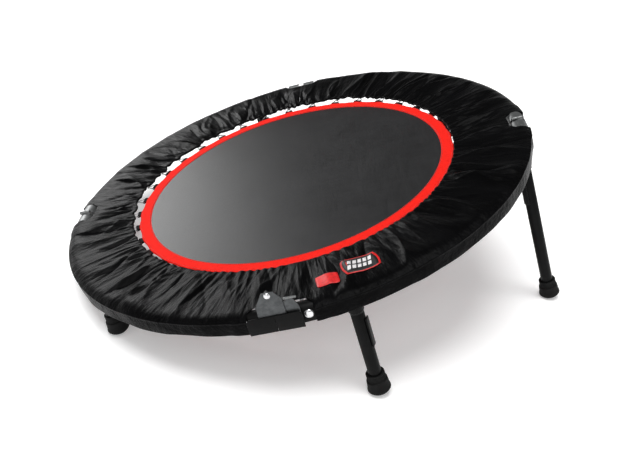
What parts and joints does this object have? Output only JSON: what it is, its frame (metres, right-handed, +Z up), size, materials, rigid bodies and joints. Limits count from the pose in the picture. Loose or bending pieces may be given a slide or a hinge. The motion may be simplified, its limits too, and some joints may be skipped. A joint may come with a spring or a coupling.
{
  "type": "mini trampoline",
  "caption": "Inclined mini trampoline: pleated black skirt over a folding ring frame, red-banded mat, springs and screw-in legs of rising height.",
  "frame": {"origin": "centre of the object's box at floor level, on the plane of the pressed soles", "axes": "+X up the slope of the mat, +Y to the back, +Z up from the floor"},
  "size_m": [1.031, 1.0476, 0.3725],
  "materials": {
    "black_paint": "satin black powder coat",
    "zinc": "zinc plated, satin",
    "bright_bolt": "bright zinc",
    "rubber": "matt moulded rubber",
    "spring_steel": "galvanised wire",
    "mat_fabric": "woven polypropylene, soft sheen",
    "skirt_fabric": "pleated nylon",
    "red_webbing": "woven webbing"
  },
  "bodies": {
    "front_right": {"frame_tube_front_right": "black_paint", "hinge_front_bolt_front_right": "bright_bolt", "hinge_front_leaf_front_right": "zinc", "hinge_front_pivot_bolt": "bright_bolt", "hinge_right_bolt_front_right": "bright_bolt", "hinge_right_leaf_front_right": "zinc", "hinge_right_pin": "bright_bolt", "leg_socket_front": "black_paint", "leg_socket_right_front": "black_paint", "mat_front_right": "mat_fabric", "skirt_front_right": "skirt_fabric", "springs_front_right": "spring_steel"},
    "front_left": {"frame_tube_front_left": "black_paint", "hinge_front_bolt_front_left": "bright_bolt", "hinge_front_leaf_front_left": "zinc", "hinge_left_bolt_front_left": "bright_bolt", "hinge_left_leaf_front_left": "zinc", "leg_socket_left_front": "black_paint", "mat_front_left": "mat_fabric", "skirt_front_left": "skirt_fabric", "springs_front_left": "spring_steel"},
    "back_right": {"frame_tube_back_right": "black_paint", "hinge_back_bolt_back_right": "bright_bolt", "hinge_back_leaf_back_right": "zinc", "hinge_back_pin": "bright_bolt", "hinge_right_bolt_back_right": "bright_bolt", "hinge_right_leaf_back_right": "zinc", "leg_socket_right_back": "black_paint", "mat_back_right": "mat_fabric", "skirt_back_right": "skirt_fabric", "springs_back_right": "spring_steel"},
    "back_left": {"frame_tube_back_left": "black_paint", "hinge_back_bolt_back_left": "bright_bolt", "hinge_back_leaf_back_left": "zinc", "hinge_left_bolt_back_left": "bright_bolt", "hinge_left_leaf_back_left": "zinc", "hinge_left_pin": "bright_bolt", "leg_socket_back": "black_paint", "leg_socket_left_back": "black_paint", "mat_back_left": "mat_fabric", "skirt_back_left": "skirt_fabric", "springs_back_left": "spring_steel"},
    "leg_right_front": {"leg_strip_right_front": "black_paint", "leg_tube_right_front": "black_paint", "rubber_tip_right_front": "rubber"},
    "leg_front": {"leg_strip_front": "black_paint", "leg_tube_front": "black_paint", "rubber_tip_front": "rubber"},
    "leg_left_front": {"leg_tube_left_front": "black_paint", "rubber_tip_left_front": "rubber"},
    "leg_right_back": {"leg_strip_right_back": "black_paint", "leg_tube_right_back": "black_paint", "rubber_tip_right_back": "rubber"},
    "leg_back": {"leg_strip_back": "black_paint", "leg_tube_back": "black_paint", "rubber_tip_back": "rubber"},
    "leg_left_back": {"leg_tube_left_back": "black_paint", "rubber_tip_left_back": "rubber"}
  },
  "joints": [
    {"name": "fold_half", "type": "hinge", "parent": "front_right", "child": "back_right", "pos_m": [0.41389, -0.12682, 0.36578], "axis": [0.9197, -0.2588, 0.2953], "range_deg": [0, 180], "stiffness_Nm_per_rad": 6, "springref_deg": -114.59},
    {"name": "fold_half_left", "type": "hinge", "parent": "front_left", "child": "back_left", "pos_m": [-0.4874, 0.12682, 0.0764], "axis": [0.9197, -0.2588, 0.2953], "range_deg": [0, 180]},
    {"name": "fold_quarter", "type": "hinge", "parent": "front_right", "child": "front_left", "pos_m": [-0.16912, -0.4733, 0.2185], "axis": [-0.2464, -0.9659, -0.0791], "range_deg": [-180, 0], "stiffness_Nm_per_rad": 6, "springref_deg": 114.59},
    {"name": "unscrew_leg_right_front", "type": "slide", "parent": "front_right", "child": "leg_right_front", "axis": [0.3555, -0.0305, -0.9342], "range_m": [0, 0.016]},
    {"name": "unscrew_leg_front", "type": "slide", "parent": "front_right", "child": "leg_front", "axis": [0.3051, -0.061, -0.9504], "range_m": [0, 0.016]},
    {"name": "unscrew_leg_left_front", "type": "slide", "parent": "front_left", "child": "leg_left_front", "axis": [0.2548, -0.0305, -0.9665], "range_m": [0, 0.016]},
    {"name": "unscrew_leg_right_back", "type": "slide", "parent": "back_right", "child": "leg_right_back", "axis": [0.3555, 0.0305, -0.9342], "range_m": [0, 0.016]},
    {"name": "unscrew_leg_back", "type": "slide", "parent": "back_left", "child": "leg_back", "axis": [0.3051, 0.061, -0.9504], "range_m": [0, 0.016]},
    {"name": "unscrew_leg_left_back", "type": "slide", "parent": "back_left", "child": "leg_left_back", "axis": [0.2548, 0.0305, -0.9665], "range_m": [0, 0.016]}
  ],
  "couplings": [
    {"joint": "fold_half_left", "follows": "fold_half", "ratio": 1}
  ]
}
